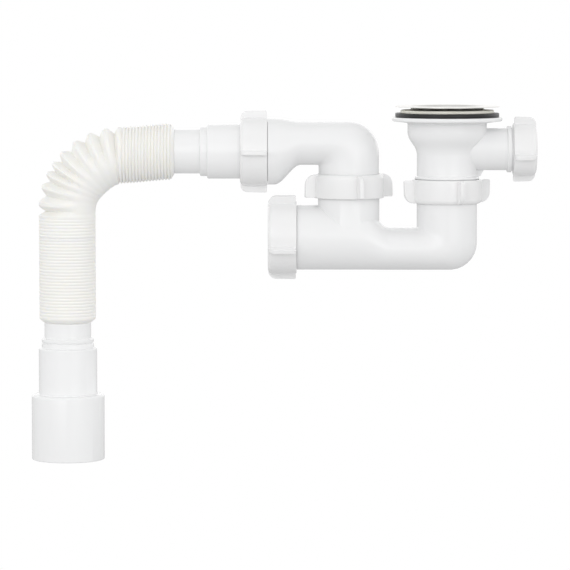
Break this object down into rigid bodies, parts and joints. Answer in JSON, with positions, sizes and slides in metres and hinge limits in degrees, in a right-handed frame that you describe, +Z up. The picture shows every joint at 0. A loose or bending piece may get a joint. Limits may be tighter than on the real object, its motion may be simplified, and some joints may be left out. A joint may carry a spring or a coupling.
{
  "type": "shower tray trap",
  "caption": "White plastic shower tray trap with a steel strainer waste, side inlet, cleaning cap, swivelling outlet elbow and a corrugated hose ending in a stepped spigot.",
  "frame": {"origin": "on the waste's axis, at the top face of the flange seal, where the tray's underside sits", "axes": "+Z up along the waste; the trap runs along -X to the hose, the side inlet points along +X"},
  "size_m": [0.3457, 0.0754, 0.2428],
  "materials": {
    "white_plastic": "gloss moulded",
    "ivory_hose": "satin",
    "stainless": "polished steel",
    "black_rubber": "matte rubber",
    "cream_gasket": "soft",
    "seal_rubber": "matte rubber",
    "brass_insert": "turned"
  },
  "bodies": {
    "waste": {"waste_body": "white_plastic", "flange_seal": "black_rubber", "tray_gasket": "cream_gasket", "screw_insert": "brass_insert"},
    "strainer": {"strainer_plate": "stainless"},
    "screw": {"centre_screw": "stainless"},
    "side_plug": {"side_inlet_plug": "white_plastic", "side_inlet_seal": "seal_rubber"},
    "side_nut": {"side_inlet_nut": "white_plastic"},
    "trap": {"trap_body": "white_plastic"},
    "waste_seal": {"waste_union_seal": "seal_rubber"},
    "waste_nut": {"waste_union_nut": "white_plastic"},
    "cap_seal": {"cleaning_cap_seal": "seal_rubber"},
    "cap": {"cleaning_cap": "white_plastic"},
    "elbow": {"outlet_elbow": "white_plastic"},
    "outlet_seal": {"outlet_union_seal": "seal_rubber"},
    "outlet_nut": {"outlet_union_nut": "white_plastic"},
    "hose_seal": {"hose_seal": "seal_rubber"},
    "hose_nut": {"hose_nut": "white_plastic"},
    "upper_cuff": {"hose_upper_cuff": "white_plastic"},
    "hose": {"corrugated_hose": "ivory_hose"},
    "lower_cuff": {"hose_lower_cuff": "white_plastic"}
  },
  "joints": [
    {"name": "strainer_travel", "type": "slide", "parent": "waste", "child": "strainer", "axis": [0, 0, 1], "range_m": [0, 0.012]},
    {"name": "strainer_turn", "type": "hinge", "parent": "strainer", "child": "screw", "pos_m": [0, 0, 0], "axis": [0, 0, 1], "range_deg": [0, 1661.5]},
    {"name": "side_nut_travel", "type": "slide", "parent": "waste", "child": "side_plug", "axis": [1, 0, 0], "range_m": [0, 0.0113]},
    {"name": "side_nut_turn", "type": "hinge", "parent": "side_plug", "child": "side_nut", "pos_m": [0.05, 0, -0.0248], "axis": [1, 0, 0], "range_deg": [0, 1564.6]},
    {"name": "waste_nut_travel", "type": "slide", "parent": "trap", "child": "waste_seal", "axis": [0, 0, -1], "range_m": [0, 0.0105]},
    {"name": "waste_nut_turn", "type": "hinge", "parent": "waste_seal", "child": "waste_nut", "pos_m": [0, 0, -0.0552], "axis": [0, 0, -1], "range_deg": [0, 1453.8]},
    {"name": "cap_travel", "type": "slide", "parent": "trap", "child": "cap_seal", "axis": [-1, 0, 0], "range_m": [0, 0.0165]},
    {"name": "cap_turn", "type": "hinge", "parent": "cap_seal", "child": "cap", "pos_m": [-0.11, 0, -0.08515], "axis": [-1, 0, 0], "range_deg": [0, 2284.6]},
    {"name": "outlet_nut_travel", "type": "slide", "parent": "elbow", "child": "outlet_seal", "axis": [0, 0, 1], "range_m": [0, 0.0048]},
    {"name": "outlet_nut_turn", "type": "hinge", "parent": "outlet_seal", "child": "outlet_nut", "pos_m": [-0.0672, 0, -0.05], "axis": [0, 0, 1], "range_deg": [0, 664.6]},
    {"name": "hose_nut_travel", "type": "slide", "parent": "elbow", "child": "hose_seal", "axis": [-1, 0, 0], "range_m": [0, 0.013]},
    {"name": "hose_nut_turn", "type": "hinge", "parent": "hose_seal", "child": "hose_nut", "pos_m": [-0.13, 0, -0.0264], "axis": [-1, 0, 0], "range_deg": [0, 1800]},
    {"name": "trap_swivel", "type": "hinge", "parent": "waste", "child": "trap", "pos_m": [0, 0, -0.0552], "axis": [0, 0, 1], "range_deg": [-90, 90]},
    {"name": "elbow_swivel", "type": "hinge", "parent": "trap", "child": "elbow", "pos_m": [-0.0672, 0, -0.0482], "axis": [0, 0, 1], "range_deg": [-75, 75]},
    {"name": "hose_turn", "type": "hinge", "parent": "elbow", "child": "upper_cuff", "pos_m": [-0.13, 0, -0.0264], "axis": [1, 0, 0], "continuous": true},
    {"name": "hose_bend", "type": "hinge", "parent": "upper_cuff", "child": "hose", "pos_m": [-0.2217, 0, -0.0646], "axis": [0, 1, 0], "range_deg": [-25, 30], "deforming": ["corrugated_hose"]},
    {"name": "hose_stretch", "type": "slide", "parent": "hose", "child": "lower_cuff", "axis": [0, 0, -1], "range_m": [0, 0.12], "deforming": ["corrugated_hose"]}
  ],
  "couplings": [
    {"joint": "strainer_turn", "follows": "strainer_travel", "rad_per_m": 2416.6},
    {"joint": "side_nut_travel", "follows": "side_nut_turn", "m_per_rad": 0.0004138},
    {"joint": "waste_nut_travel", "follows": "waste_nut_turn", "m_per_rad": 0.0004138},
    {"joint": "cap_travel", "follows": "cap_turn", "m_per_rad": 0.0004138},
    {"joint": "outlet_nut_travel", "follows": "outlet_nut_turn", "m_per_rad": 0.0004138},
    {"joint": "hose_nut_travel", "follows": "hose_nut_turn", "m_per_rad": 0.0004138}
  ]
}
